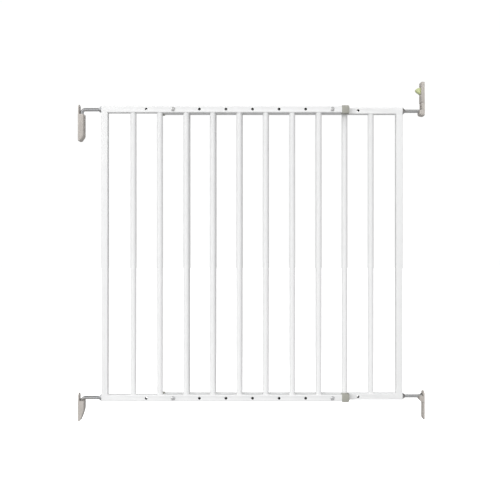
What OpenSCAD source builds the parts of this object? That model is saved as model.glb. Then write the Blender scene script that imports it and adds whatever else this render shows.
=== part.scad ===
// Extending safety gate: two overlapping tube panels, joined by four bolts,
// hung on two lift-off hinges at the left and held by a lock and a catch at the right.
// +X to the right, +Y to the back, +Z up. Walls at +/- wall_x, origin at the foot of the
// lower brackets, midway between the walls. Millimetres.

/* [Gate] */
// Overall height of the frame, rail to rail
frame_h = 720; // [600:10:800]
// Height of the frame above the foot of the lower brackets
frame_z = 48; // [48:1:60]
// Number of hole pitches by which the gate is drawn out from its shown width
width_step = 0; // [-1:1:5]
// Distance between bar centres
pitch = 64.7; // [60:0.1:66]
// Gap between the two panels
panel_gap = 2; // [2:0.1:3]

/* [Tubes and bars] */
// Outside size of the square tube of posts and rails
tube = 16; // [15:0.5:17]
// Wall thickness of the square tube
tube_wall = 1.2; // [1:0.1:1.5]
// Corner radius of the square tube
tube_r = 1.8; // [1:0.1:2.5]
// Diameter of the round bars
bar_d = 14.4; // [12:0.2:15]
// Wall thickness of the round bars
bar_wall = 1; // [0.8:0.1:1.5]
// Diameter of the holes in the rails
hole_d = 6.5; // [6:0.1:7]
// Wall thickness of the plastic end caps
cap_wall = 1.4; // [1:0.1:1.4]

/* [Spindles] */
// Diameter of the threaded spindles
rod_d = 8; // [8:0.5:8]
// Radial running clearance of spindles, bushes and sockets
fit_gap = 0.05; // [0.02:0.01:0.1]
// Centreline radius of the bend in the hinge spindles
bend_r = 8; // [7:0.5:8]
// Length of the upper hinge pin below the bush top
pin_l = 30; // [24:1:30]
// Length of the lower hinge pin below the bush top
pin_l2 = 12; // [11:0.5:12]
// Diameter of the round heads on the latch spindles
head_d = 14; // [13:0.5:14]

/* [Wall fittings] */
// Width of each wall bracket
bracket_w = 24; // [24:0.5:26]
// Depth of the hinge brackets from the wall
bracket_d = 14.2; // [14.2:0.1:16]
// Thickness of the hinge brackets' back plates
plate_t = 2.5; // [2.4:0.1:2.6]
// Thickness of the cover shells
shell_t = 1.2; // [1:0.1:1.2]
// Diameter of the wall screw holes
screw_d = 5.2; // [4:0.1:5.4]
// Distance of the hinge axis from the wall
axis_u = 7.4; // [7.3:0.1:7.5]
// Travel of the thumb slider
slide_t = 10; // [10:1:10]

/* [Hidden] */

wall_x = 424;
play = 1;                                  // sideways play of the right panel on the hole grid
shift = width_step * pitch;
mid_l = -(panel_gap + tube) / 2;           // middle plane of the left (front) panel
mid_r = (panel_gap + tube) / 2;            // middle plane of the right (back) panel
z_lo = frame_z + tube / 2;                 // centre of the bottom rails
z_hi = frame_z + frame_h - tube / 2;       // centre of the top rails
bar1_x = -4.5 * pitch + 0.75;              // first bar of the left panel
post_off = 69.6;                           // post centre to the first bar
rail_l = 602.7;
left_end = bar1_x - post_off - tube / 2;   // outer end of the left panel
right_end = bar1_x + 9 * pitch + play + post_off + tube / 2;
axis_x = -wall_x + axis_u;
bore_d = 9.6;                              // bore of the bush sockets
bush_od = bore_d - 2 * fit_gap;
tongue_w = 18;                             // width of the brackets' tongues
catch_t = 3.6;                             // thickness of the catch's back plate
head_u = 4.5;
head_t = 3.5;

white = "#f2f2f0";
steel = "#b9bcc0";
grey = "#c6bfb6";
cap_grey = "#a9a797";
green = "#c9cf9a";

function hole_x(i) = bar1_x + pitch * (i + 0.5);
function arc(cx, cy, r, a0, a1, n = 8) =
  [for (i = [0:n]) let (a = a0 + (a1 - a0) * i / n) [cx + r * cos(a), cy + r * sin(a)]];
function oval(cx, cy, rx, ry, a0, a1, n = 8) =
  [for (i = [0:n]) let (a = a0 + (a1 - a0) * i / n) [cx + rx * cos(a), cy + ry * sin(a)]];
function round_rect(w, h, r) = concat(
  arc(w / 2 - r, h / 2 - r, r, 0, 90, 4), arc(-w / 2 + r, h / 2 - r, r, 90, 180, 4),
  arc(-w / 2 + r, -h / 2 + r, r, 180, 270, 4), arc(w / 2 - r, -h / 2 + r, r, 270, 360, 4));

// ---- helpers ----------------------------------------------------------------------
// Extrudes a profile drawn in X (across) and Z (up) along Y from y0 to y1
module along_y(y0, y1) translate([0, y1, 0]) rotate([90, 0, 0]) linear_extrude(y1 - y0) children();
// Extrudes a profile drawn in Y (across) and Z (up) along X from x0 to x1
module along_x(x0, x1) translate([x0, 0, 0]) rotate([90, 0, 90]) linear_extrude(x1 - x0) children();
module rod_x(x0, x1, d, fn = 48) translate([x0, 0, 0]) rotate([0, 90, 0]) cylinder(h = x1 - x0, d = d, $fn = fn);
module rod_y(y0, y1, d, fn = 48) translate([0, y0, 0]) rotate([-90, 0, 0]) cylinder(h = y1 - y0, d = d, $fn = fn);
module box(a, b) translate(a) cube(b - a);
// Wall coordinates: X is the distance from the wall, Y is measured from the panel's middle plane
module on_left_wall() translate([-wall_x, mid_l, 0]) children();
module on_right_wall() translate([shift, mid_r, 0]) mirror([1, 0, 0]) translate([-wall_x, 0, 0]) children();

// ---- panels -----------------------------------------------------------------------
module tube_profile() difference() {
  polygon(round_rect(tube, tube, tube_r));
  square(tube - 2 * tube_wall, center = true);
}
module rail(x0, y, z, holes) difference() {
  translate([0, y, z]) along_x(x0, x0 + rail_l) tube_profile();
  for (x = holes) translate([x, 0, z]) rod_y(y - tube, y + tube, hole_d);
}
module post(x, y) translate([x, y, z_lo + tube / 2]) linear_extrude(z_hi - z_lo - tube) tube_profile();
module bar(x, y) translate([x, y, z_lo + tube / 2]) difference() {
  cylinder(h = z_hi - z_lo - tube, d = bar_d, $fn = 64);
  translate([0, 0, -1]) cylinder(h = z_hi - z_lo - tube + 2, d = bar_d - 2 * bar_wall, $fn = 64);
}
module left_rail(z) color(white) rail(left_end, mid_l, z, [for (i = [0:7]) hole_x(i)]);
module right_rail(z) color(white) translate([shift, 0, 0])
  rail(right_end - rail_l, mid_r, z, [for (i = [1:8]) hole_x(i) + play]);
module left_bar(i) color(white) bar(bar1_x + pitch * (i - 1), mid_l);
module right_bar(i) color(white) translate([shift, 0, 0]) bar(bar1_x + pitch * (i + 1) + play, mid_r);

// Plastic cap on the inner end of a rail, its outer corner rounded.
// s = 1 for the top rail and -1 for the bottom rail; drawn for a rail that ends at X = 0
module end_cap(s) {
  t = tube / 2 + cap_wall;
  inner = tube / 2 + 0.05;
  difference() {
    along_y(-t, t) polygon(concat([[-15.9, -t * s], [1.8, -t * s]],
      [for (p = arc(1.8 - 4, t - 4, 4, 0, 90)) [p[0], p[1] * s]], [[-15.9, t * s]]));
    box([-17, -inner, -inner], [0.05, inner, inner]);
  }
}
module left_cap(z, s) color(cap_grey) translate([left_end + rail_l, mid_l, z]) end_cap(s);
module right_cap(z, s) color(cap_grey) translate([shift + right_end - rail_l, mid_r, z]) mirror([1, 0, 0]) end_cap(s);

// Threaded plug that closes the outer end of a rail and carries the spindle
module plug() {
  w = tube - 2 * tube_wall - 0.1;
  difference() {
    box([0, -w / 2, -w / 2], [26, w / 2, w / 2]);
    rod_x(-1, 27, rod_d + 2 * fit_gap);
  }
}
module left_plug(z) color(steel) translate([left_end, mid_l, z]) plug();
module right_plug(z) color(steel) translate([shift + right_end, mid_r, z]) mirror([1, 0, 0]) plug();

// ---- spindles and lock nuts -------------------------------------------------------
// Threaded rod that bends down into the hinge pin
module hinge_spindle(z, z_top, pin) color(steel) translate([0, mid_l, 0]) {
  translate([0, 0, z]) rod_x(axis_x + bend_r, left_end + 28, rod_d);
  translate([axis_x + bend_r, 0, z - bend_r]) rotate([90, 0, 0]) rotate([0, 0, 90])
    rotate_extrude(angle = 90, $fn = 96) translate([bend_r, 0]) circle(d = rod_d, $fn = 48);
  translate([axis_x, 0, z_top - pin]) cylinder(h = z - bend_r - z_top + pin, d = rod_d, $fn = 48);
}
// Straight threaded rod with a round head
module latch_spindle(z) color(steel) translate([shift, mid_r, z]) {
  rod_x(right_end - 28, wall_x - head_u - head_t, rod_d);
  rod_x(wall_x - head_u - head_t, wall_x - head_u, head_d);
}
// Flared lock nut: wide against the frame, narrow on the rod. Drawn for a frame face at X = 0
module lock_nut() difference() {
  rotate([0, -90, 0]) rotate_extrude($fn = 64) polygon([
    [0, 0.1], [8.9, 0.1], [8.9, 1.1], [8.1, 2], [5, 5.2], [4.85, 5.6], [4.85, 6.4], [0, 6.4]]);
  rod_x(-9.5, 1, rod_d + 2 * fit_gap);
}
module left_nut(z) color(steel) translate([left_end, mid_l, z]) lock_nut();
module right_nut(z) color(steel) translate([shift + right_end, mid_r, z]) mirror([1, 0, 0]) lock_nut();

// ---- joining bolts ----------------------------------------------------------------
// Dome-headed bolt, right through both rails
module joining_bolt() difference() {
  union() {
    translate([0, mid_l - tube / 2 - 0.05, 0]) rotate([90, 0, 0]) rotate_extrude($fn = 48)
      polygon(concat([[0, 0]], [[5, 0], [5, 0.6]], oval(0, 0.6, 5, 2.3, 0, 90, 6)));
    rod_y(mid_l - tube / 2 - 0.1, mid_r + tube / 2 + 4.6, 5);
  }
  translate([0, mid_l - tube / 2 - 3.5, 0]) rotate([-90, 0, 0]) cylinder(h = 2.2, d = 3.5, $fn = 6);
}
module joining_nut() difference() {
  translate([0, mid_r + tube / 2 + 0.05, 0]) rotate([-90, 0, 0]) cylinder(h = 4, d = 8 / cos(30), $fn = 6);
  rod_y(mid_r, mid_r + tube, 5.06);
}
module at_both(x) for (z = [z_lo, z_hi]) translate([x, 0, z]) children();
left_bolt_x = hole_x(1 + width_step) + play / 2;
right_bolt_x = hole_x(7) + play / 2;

// ---- hinge brackets ---------------------------------------------------------------
// Socket plate. z0 and z1 are its ends, zt the top of the bush socket, zb its foot,
// s0 and s1 the heights of the two wall screws
module hinge_base(z0, z1, zb, zt, s0, s1) {
  n = bracket_w / 2 - shell_t - 0.3;
  w = tongue_w / 2;
  boss = (bore_d + 1.4) / 2;
  difference() {
    union() {
      along_x(0, plate_t) polygon(concat(
        [[-n, z0 + shell_t + 0.3], [n, z0 + shell_t + 0.3], [n, zt + 0.1], [w, zt + 0.1]],
        arc(0, z1 - w, w, 0, 180, 16), [[-w, zt + 0.1], [-n, zt + 0.1]]));
      box([plate_t - 0.5, -7.4, zb], [axis_u, 7.4, zt]);
      box([plate_t - 0.5, -boss, zb], [axis_u + boss, boss, zt]);
    }
    translate([axis_u, 0, zb + 2]) cylinder(h = zt, d = bore_d, $fn = 64);
    for (s = [s0, s1]) translate([0, 0, s]) {
      rod_x(-1, plate_t + 1, screw_d);
      translate([plate_t - 1.5, 0, 0]) rotate([0, 90, 0]) cylinder(h = 1.6, d1 = screw_d, d2 = screw_d + 3.2, $fn = 48);
    }
  }
}
// Cover shell around the socket; side = outer profile, hollow = inner profile
module hinge_cover(side, hollow, top) difference() {
  along_y(-bracket_w / 2, bracket_w / 2) polygon(side);
  along_y(-bracket_w / 2 + shell_t, bracket_w / 2 - shell_t) polygon(hollow);
  translate([axis_u, 0, top - 3]) cylinder(h = 8, d = 9.6, $fn = 64);
  // notch for the tongue
  box([-1, -tongue_w / 2 - 0.2, top - 3], [plate_t + 0.5, tongue_w / 2 + 0.2, top + 1]);
}
// Plain bush: turns in the socket, and the pin slides in it
module hinge_bush(zb, zt) difference() {
  translate([axis_u, 0, zb + 2.2]) cylinder(h = zt - zb - 2.5, d = bush_od, $fn = 64);
  translate([axis_u, 0, zb]) cylinder(h = zt - zb + 5, d = rod_d + 2 * fit_gap, $fn = 64);
}
u_top = z_hi - 12;         // top face of the upper bracket's body
u_bot = z_hi - 77;         // foot of the upper bracket
l_top = z_lo - 6;          // top face of the lower bracket's body
u_sock = u_top - 46;       // foot of the upper socket
l_sock = l_top - 17;       // foot of the lower socket
d = bracket_d;
di = bracket_d - shell_t;
module upper_hinge_base() color(grey) on_left_wall()
  hinge_base(u_bot, z_hi + 12, u_sock, u_top - 1.6, u_bot + 8, z_hi + 4);
module lower_hinge_base() color(grey) on_left_wall()
  hinge_base(0, z_lo + 12.5, l_sock, l_top - 1.6, 6.6, z_lo + 5);
module upper_hinge_cover() color(grey) on_left_wall() hinge_cover(
  [[0.3, u_bot], [6.5, u_bot], [d - 1.2, u_bot + 9], [d, u_bot + 13], [d, u_top - 1], [d - 1, u_top], [0.3, u_top]],
  [[-1, u_bot + shell_t], [6, u_bot + shell_t], [di - 1.1, u_bot + 9.6], [di, u_bot + 13.5], [di, u_top - shell_t], [-1, u_top - shell_t]],
  u_top);
module lower_hinge_cover() color(grey) on_left_wall() hinge_cover(
  [[0.3, 0], [3.2, 0.2], [4.6, 2], [6.3, 5.6], [8.3, 10.3], [10.2, 15.5], [12, 21], [d - 0.7, 26.2], [d, 31.5], [d, l_top - 1], [d - 1, l_top], [0.3, l_top]],
  [[-1, shell_t], [2.8, 1.35], [3.5, 2.6], [5.2, 6.1], [7.2, 10.7], [9.1, 15.9], [10.8, 21.4], [di - 0.7, 26.5], [di, 31.7], [di, l_top - shell_t], [-1, l_top - shell_t]],
  l_top);
module upper_hinge_bush() color("ivory") on_left_wall() hinge_bush(u_sock, u_top - 1.6);
module lower_hinge_bush() color("ivory") on_left_wall() hinge_bush(l_sock, l_top - 1.6);

// ---- latch fittings ---------------------------------------------------------------
// Open-topped cradle around the head of a latch spindle, centred on height z
module cradle_cut(z) {
  translate([3.8, 0, z]) { rod_x(0, head_u + head_t + 0.5 - 3.8, head_d + 0.8); box([0, -head_d / 2 - 0.4, 0], [head_u + head_t + 0.5 - 3.8, head_d / 2 + 0.4, 30]); }
  translate([3.8, 0, z]) { rod_x(0, 12, rod_d + 1); box([0, -rod_d / 2 - 0.5, 0], [12, rod_d / 2 + 0.5, 30]); }
}
// Block of the cradle: a blunt nose with a sloping foot
module cradle_block(z, w, foot) along_y(-w, w) polygon([
  [1, z - foot], [8.5, z - foot + 0.8], [11.6, z - foot + 3], [12.5, z - foot + 5.5], [12.5, z + 0.6], [11.3, z + 2], [1, z + 2]]);
module screw_cut(z, t) translate([0, 0, z]) {
  rod_x(-1, t + 1, screw_d);
  translate([t - 1.7, 0, 0]) rotate([0, 90, 0]) cylinder(h = 1.8, d1 = screw_d, d2 = screw_d + 3.6, $fn = 48);
}
lock_t = 3.2;                 // thickness of the lock's back plate
lock_top = z_hi + 71;
lock_foot = z_hi + 20;        // foot of the lock cover
s_bot = z_hi + 12;            // foot of the thumb slider
s_top = z_hi + 56.5;            // top of the thumb slider
module lock_base() color(grey) on_right_wall() {
  w = bracket_w / 2;
  difference() {
    union() {
      along_x(0, lock_t) polygon(concat(
        [[-w + 3, z_hi - 12], [w - 3, z_hi - 12], [w, z_hi - 9], [w, lock_foot - 0.3], [w - 2.1, lock_foot - 0.3],
         [w - 2.1, lock_top - 2.3], [-w + 2.1, lock_top - 2.3], [-w + 2.1, lock_foot - 0.3], [-w, lock_foot - 0.3], [-w, z_hi - 9]]));
      cradle_block(z_hi, w - 0.2, 12);
      // side cheeks that lead the slider's foot down to the cradle
      for (m = [0, 1]) mirror([0, m, 0]) box([1, 8.2, z_hi + 1], [7.4, w - 0.2, lock_foot - 0.3]);
      // stop for the spring
      box([lock_t - 0.5, -1.5, z_hi + 46], [5.9, 1.5, z_hi + 49]);
    }
    cradle_cut(z_hi);
    screw_cut(z_hi + 30, lock_t);
    screw_cut(z_hi + 63, lock_t);
  }
}
module lock_cover() color(grey) on_right_wall() {
  w = bracket_w / 2;
  difference() {
    along_x(0.3, 8.4) polygon(concat([[-w, lock_foot], [w, lock_foot]],
      arc(w - 4, lock_top - 4, 4, 0, 90), arc(-w + 4, lock_top - 4, 4, 90, 180)));
    // recess over the back plate
    box([0, -w + 1.9, lock_foot - 1], [lock_t + 0.1, w - 1.9, lock_top - 2.1]);
    // channel of the slider and its window
    box([lock_t, -5.3, lock_foot - 1], [7.4, 5.3, lock_top - 1.4]);
    box([lock_t, -3.4, lock_foot - 1], [9, 3.4, lock_top - 1.4]);
    // weight-saving hollows behind the cheeks
    for (m = [0, 1]) mirror([0, m, 0]) box([lock_t, 6.7, lock_foot + 2], [6.8, w - 1.9, lock_top - 5]);
  }
}
module thumb_slider() color(green) on_right_wall() difference() {
  union() {
    box([lock_t + 0.3, -5, s_bot], [7.1, 5, s_top]);
    box([7, -3.1, s_top - 15], [8.9, 3.1, s_top]);
    // thumb rest: flat top, rounded nose, slanted underside
    along_y(-6.2, 6.2) polygon(concat([[8.7, s_top - 15], [11, s_top - 14.6], [17.6, s_top - 9.8]],
      arc(16.9, s_top - 5.2, 3.6, -45, 50, 8), [[15.5, s_top], [8.7, s_top]]));
  }
  // pocket for the spring and its stop
  box([3, -1.9, z_hi + 26], [6.3, 1.9, z_hi + 50]);
}
// Coil spring: rings of points along a helix
spring_n = 10;
spring_k = 12;
spring_s = 6;
function coil(i, j) = let (a = 360 * i / spring_k, r = 1.05, w = 0.22, b = 360 * j / spring_s)
  [(r + w * cos(b)) * cos(a), (r + w * cos(b)) * sin(a), 0.4 + 19 * i / (spring_n * spring_k) + w * sin(b)];
module latch_spring() color(steel) on_right_wall() translate([4.85, 0, z_hi + 26]) {
  n = spring_n * spring_k;
  polyhedron(
    points = [for (i = [0:n]) for (j = [0:spring_s - 1]) coil(i, j)],
    faces = concat(
      [[for (j = [0:spring_s - 1]) j]],
      [for (i = [0:n - 1]) for (j = [0:spring_s - 1]) let (k = (j + 1) % spring_s)
        [i * spring_s + j, (i + 1) * spring_s + j, (i + 1) * spring_s + k, i * spring_s + k]],
      [[for (j = [spring_s - 1:-1:0]) n * spring_s + j]]));
}
module lower_catch() color(grey) on_right_wall() {
  w = bracket_w / 2;
  difference() {
    union() {
      difference() {
        along_x(0, catch_t) polygon(concat([[-w, 4], [-w + 4, 0], [w - 4, 0], [w, 4]],
          arc(w - 9, z_lo + 14 - 9, 9, 0, 90), arc(-w + 9, z_lo + 14 - 9, 9, 90, 180)));
        // chamfered foot
        along_y(-w - 1, w + 1) polygon([[catch_t + 0.1, -1], [catch_t + 0.1, 3], [2, -1]]);
      }
      cradle_block(z_lo, w - 0.2, 12.5);
    }
    cradle_cut(z_lo);
    screw_cut(z_lo - 18.5, catch_t);
    screw_cut(11, catch_t);
  }
}

// ---- the named pieces -------------------------------------------------------------
upper_hinge_base();
upper_hinge_cover();
upper_hinge_bush();
lower_hinge_base();
lower_hinge_cover();
lower_hinge_bush();
module left_post() color(white) post(left_end + tube / 2, mid_l);
module right_post() color(white) translate([shift, 0, 0]) post(right_end - tube / 2, mid_r);
module left_joining_bolts() color(steel) at_both(left_bolt_x) joining_bolt();
module right_joining_bolts() color(steel) at_both(right_bolt_x) joining_bolt();
module left_joining_nuts() color(steel) at_both(left_bolt_x) joining_nut();
module right_joining_nuts() color(steel) at_both(right_bolt_x) joining_nut();
left_post();
left_rail(z_hi);  // left_top_rail
left_rail(z_lo);  // left_bottom_rail
left_bar(1);  // left_bar_1
left_bar(2);  // left_bar_2
left_bar(3);  // left_bar_3
left_bar(4);  // left_bar_4
left_bar(5);  // left_bar_5
left_bar(6);  // left_bar_6
left_bar(7);  // left_bar_7
left_bar(8);  // left_bar_8
left_cap(z_hi, 1);  // left_top_end_cap
left_cap(z_lo, -1);  // left_bottom_end_cap
left_plug(z_hi);  // left_top_plug
left_plug(z_lo);  // left_bottom_plug
hinge_spindle(z_hi, u_top - 1.6, pin_l);  // upper_hinge_spindle
hinge_spindle(z_lo, l_top - 1.6, pin_l2);  // lower_hinge_spindle
left_nut(z_hi);  // upper_hinge_nut
left_nut(z_lo);  // lower_hinge_nut
right_post();
right_rail(z_hi);  // right_top_rail
right_rail(z_lo);  // right_bottom_rail
right_bar(1);  // right_bar_1
right_bar(2);  // right_bar_2
right_bar(3);  // right_bar_3
right_bar(4);  // right_bar_4
right_bar(5);  // right_bar_5
right_bar(6);  // right_bar_6
right_bar(7);  // right_bar_7
right_bar(8);  // right_bar_8
right_cap(z_hi, 1);  // right_top_end_cap
right_cap(z_lo, -1);  // right_bottom_end_cap
right_plug(z_hi);  // right_top_plug
right_plug(z_lo);  // right_bottom_plug
latch_spindle(z_hi);  // upper_latch_spindle
latch_spindle(z_lo);  // lower_latch_spindle
right_nut(z_hi);  // upper_latch_nut
right_nut(z_lo);  // lower_latch_nut
left_joining_bolts();
left_joining_nuts();
right_joining_bolts();
right_joining_nuts();
lock_base();
lock_cover();
thumb_slider();
latch_spring();
lower_catch();
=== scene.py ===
# Extending safety gate: looks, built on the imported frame. Metres, +Z up; local builders work in millimetres.
import bpy, bmesh, math
from mathutils import Vector, Matrix


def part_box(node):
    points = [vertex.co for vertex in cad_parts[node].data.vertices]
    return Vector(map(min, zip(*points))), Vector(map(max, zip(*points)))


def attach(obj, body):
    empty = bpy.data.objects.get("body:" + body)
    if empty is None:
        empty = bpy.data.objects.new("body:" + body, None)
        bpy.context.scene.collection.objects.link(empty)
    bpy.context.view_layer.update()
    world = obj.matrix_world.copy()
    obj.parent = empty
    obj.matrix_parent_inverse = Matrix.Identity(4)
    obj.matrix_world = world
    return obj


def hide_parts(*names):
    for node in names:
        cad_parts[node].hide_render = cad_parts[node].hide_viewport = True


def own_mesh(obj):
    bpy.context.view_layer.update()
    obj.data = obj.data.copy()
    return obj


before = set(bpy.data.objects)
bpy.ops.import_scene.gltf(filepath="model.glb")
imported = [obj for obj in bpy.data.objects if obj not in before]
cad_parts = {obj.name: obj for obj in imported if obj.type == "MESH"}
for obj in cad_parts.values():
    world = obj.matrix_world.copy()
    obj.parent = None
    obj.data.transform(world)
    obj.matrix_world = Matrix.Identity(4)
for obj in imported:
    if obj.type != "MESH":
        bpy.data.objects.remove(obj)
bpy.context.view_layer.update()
MM = 0.001


def lo(node): return [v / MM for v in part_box(node)[0]]
def hi(node): return [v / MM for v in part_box(node)[1]]


# ---------------------------------------------------------------- measures from the frame
TL, TH = lo("left_top_rail"), hi("left_top_rail")
BL = lo("left_bottom_rail")
RL, RH = lo("right_top_rail"), hi("right_top_rail")
TUBE = TH[2] - TL[2]
Z_HI, Z_LO = (TL[2] + TH[2]) / 2, BL[2] + TUBE / 2
MID_L, MID_R = (TL[1] + TH[1]) / 2, (RL[1] + RH[1]) / 2
LEFT_END, RIGHT_END = TL[0], RH[0]
WALL = hi("lower_catch")[0]
AXIS_U = 7.4
PITCH = (hi("left_bar_8")[0] - hi("left_bar_1")[0]) / 7
BAR1 = (lo("left_bar_1")[0] + hi("left_bar_1")[0]) / 2
PLAY = (lo("right_bar_1")[0] + hi("right_bar_1")[0]) / 2 - BAR1 - 2 * PITCH
R_TUBE = 1.8


# ---------------------------------------------------------------- mesh helpers
def arc(cx, cy, r, a0, a1, n=8):
    return [(cx + r * math.cos(math.radians(a0 + (a1 - a0) * i / n)), cy + r * math.sin(math.radians(a0 + (a1 - a0) * i / n))) for i in range(n + 1)]


def oval(cx, cy, rx, ry, a0, a1, n=12):
    return [(cx + rx * math.cos(math.radians(a0 + (a1 - a0) * i / n)), cy + ry * math.sin(math.radians(a0 + (a1 - a0) * i / n))) for i in range(n + 1)]


def round_rect(w, h, r, n=6):
    return arc(w / 2 - r, h / 2 - r, r, 0, 90, n) + arc(-w / 2 + r, h / 2 - r, r, 90, 180, n) + arc(-w / 2 + r, -h / 2 + r, r, 180, 270, n) + arc(w / 2 - r, -h / 2 + r, r, 270, 360, n)


def smooth_run(pts, n=3):
    """Catmull-Rom points through an open run."""
    out = [pts[0]]
    for i in range(1, len(pts)):
        a, b, c, d = pts[max(i - 2, 0)], pts[i - 1], pts[i], pts[min(i + 1, len(pts) - 1)]
        for k in range(1, n + 1):
            t = k / n
            out.append(tuple(0.5 * (2 * b[j] + (c[j] - a[j]) * t + (2 * a[j] - 5 * b[j] + 4 * c[j] - d[j]) * t * t + (3 * b[j] - a[j] - 3 * c[j] + d[j]) * t ** 3) for j in (0, 1)))
    return out


def put(p, q, t, axis):
    return {"x": (t, p, q), "y": (p, t, q), "z": (p, q, t)}[axis]


def bevel_edges(bm, width, seg, pick=None):
    bm.edges.ensure_lookup_table()
    edges = [e for e in bm.edges if len(e.link_faces) == 2 and e.calc_face_angle(0) > math.radians(24) and (pick is None or pick(e))]
    if edges and width > 0:
        bmesh.ops.bevel(bm, geom=edges, offset=width, offset_type="OFFSET", segments=seg, profile=0.5, affect="EDGES", clamp_overlap=True)


def prism(profile, a, b, axis, bevel=0.0, seg=3, pick=None):
    """Closed prism of a 2D outline from a to b along an axis, with its sharp edges rounded."""
    bm = bmesh.new()
    v0 = [bm.verts.new(put(p, q, a, axis)) for p, q in profile]
    v1 = [bm.verts.new(put(p, q, b, axis)) for p, q in profile]
    n = len(profile)
    bm.faces.new(v0)
    bm.faces.new(list(reversed(v1)))
    for i in range(n):
        bm.faces.new((v0[i], v1[i], v1[(i + 1) % n], v0[(i + 1) % n]))
    bmesh.ops.recalc_face_normals(bm, faces=bm.faces)
    bevel_edges(bm, bevel, seg, pick)
    return bm


def block(a, b, bevel=0.0, seg=3, pick=None):
    return prism([(a[0], a[1]), (b[0], a[1]), (b[0], b[1]), (a[0], b[1])], a[2], b[2], "z", bevel, seg, pick)


def lathe(profile, origin, direction, n=48, wobble=None, flip=False):
    """Turned solid. profile is (radius, height) from axis to axis, or a closed loop clear of the axis."""
    bm = bmesh.new()
    d = Vector(direction).normalized()
    u = d.orthogonal().normalized()
    if abs(d.z) < 0.5:
        u = Vector((0, 0, 1))
    w = d.cross(u)
    o = Vector(origin)
    loop = profile[0][0] > 1e-6
    rings = []
    for r, h in profile:
        if r < 1e-6:
            rings.append([bm.verts.new(o + d * h)])
        else:
            ring = []
            for k in range(n):
                t = 2 * math.pi * k / n
                rr = r if wobble is None else wobble(r, h, t)
                ring.append(bm.verts.new(o + d * h + (u * math.cos(t) + w * math.sin(t)) * rr))
            rings.append(ring)
    pairs = list(zip(rings, rings[1:])) + ([(rings[-1], rings[0])] if loop else [])
    for A, B in pairs:
        if len(A) == 1 and len(B) == 1:
            continue
        for k in range(n):
            j = (k + 1) % n
            if len(A) == 1:
                bm.faces.new((A[0], B[k], B[j]))
            elif len(B) == 1:
                bm.faces.new((A[k], B[0], A[j]))
            else:
                bm.faces.new((A[k], B[k], B[j], A[j]))
    bmesh.ops.recalc_face_normals(bm, faces=bm.faces)
    return bm


def sweep(path, radius, n=28, y=0.0):
    """Rod along a path in the XZ plane at one Y. path is [(x, z, s)], radius(s, angle) its skin; the ends are closed."""
    bm = bmesh.new()
    rings = []
    for i, (x, z, s) in enumerate(path):
        x0, z0, _ = path[max(i - 1, 0)]
        x1, z1, _ = path[min(i + 1, len(path) - 1)]
        t = Vector((x1 - x0, 0, z1 - z0)).normalized()
        a = Vector((0, 1, 0))
        b = t.cross(a)
        rings.append([bm.verts.new(Vector((x, y, z)) + (a * math.cos(2 * math.pi * k / n) + b * math.sin(2 * math.pi * k / n)) * radius(s, 2 * math.pi * k / n)) for k in range(n)])
    for A, B in zip(rings, rings[1:]):
        for k in range(n):
            j = (k + 1) % n
            bm.faces.new((A[k], B[k], B[j], A[j]))
    bm.faces.new(rings[0])
    bm.faces.new(list(reversed(rings[-1])))
    bmesh.ops.recalc_face_normals(bm, faces=bm.faces)
    return bm


def join_bm(*bms):
    """Several closed shells in one mesh."""
    out = bmesh.new()
    for bm in bms:
        me = bpy.data.meshes.new("t")
        bm.to_mesh(me)
        bm.free()
        out.from_mesh(me)
        bpy.data.meshes.remove(me)
    return out


def to_object(name, bm):
    me = bpy.data.meshes.new(name)
    bm.to_mesh(me)
    bm.free()
    ob = bpy.data.objects.new(name, me)
    bpy.context.scene.collection.objects.link(ob)
    return ob


def evaluated(ob):
    dg = bpy.context.evaluated_depsgraph_get()
    dg.update()
    me = bpy.data.meshes.new_from_object(ob.evaluated_get(dg))
    ob.modifiers.clear()
    old = ob.data
    ob.data = me
    bpy.data.meshes.remove(old)
    return ob


def combine(ob, bms, op="DIFFERENCE"):
    """Cuts or adds shells, in millimetres, with exact booleans."""
    tools = []
    for i, bm in enumerate(bms):
        t = to_object(ob.name + "_tool", bm)
        t.hide_render = True
        tools.append(t)
        m = ob.modifiers.new("b%d" % i, "BOOLEAN")
        m.operation = op
        m.solver = "EXACT"
        m.object = t
    evaluated(ob)
    for t in tools:
        me = t.data
        bpy.data.objects.remove(t)
        bpy.data.meshes.remove(me)
    return ob


def soften(ob, width, seg=2, angle=40):
    m = ob.modifiers.new("bevel", "BEVEL")
    m.width = width
    m.segments = seg
    m.limit_method = "ANGLE"
    m.angle_limit = math.radians(angle)
    m.use_clamp_overlap = True
    m.miter_outer = "MITER_ARC"
    evaluated(ob)
    return ob


def hole_cutter(origin, direction, r, l0, l1, flare=0.4, n=32):
    """Drill through a plate from height l0 to l1 that also rounds both lips."""
    pts = [(0, l0 - 3), (r + flare + 0.02, l0 - 3), (r + flare + 0.02, l0 - 0.01)]
    pts += [(r + flare * (1 - math.sin(a)), l0 + flare * (1 - math.cos(a))) for a in [math.radians(x) for x in (8, 25, 45, 68, 90)]]
    pts += [(r + flare * (1 - math.sin(a)), l1 - flare * (1 - math.cos(a))) for a in [math.radians(x) for x in (90, 68, 45, 25, 8)]]
    pts += [(r + flare + 0.02, l1 + 0.01), (r + flare + 0.02, l1 + 3), (0, l1 + 3)]
    return lathe(pts, origin, direction, n)


def clean(ob):
    bm = bmesh.new()
    bm.from_mesh(ob.data)
    bmesh.ops.remove_doubles(bm, verts=bm.verts, dist=0.002)
    bmesh.ops.dissolve_degenerate(bm, edges=bm.edges, dist=0.002)
    bmesh.ops.recalc_face_normals(bm, faces=bm.faces)
    bm.to_mesh(ob.data)
    bm.free()


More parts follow.
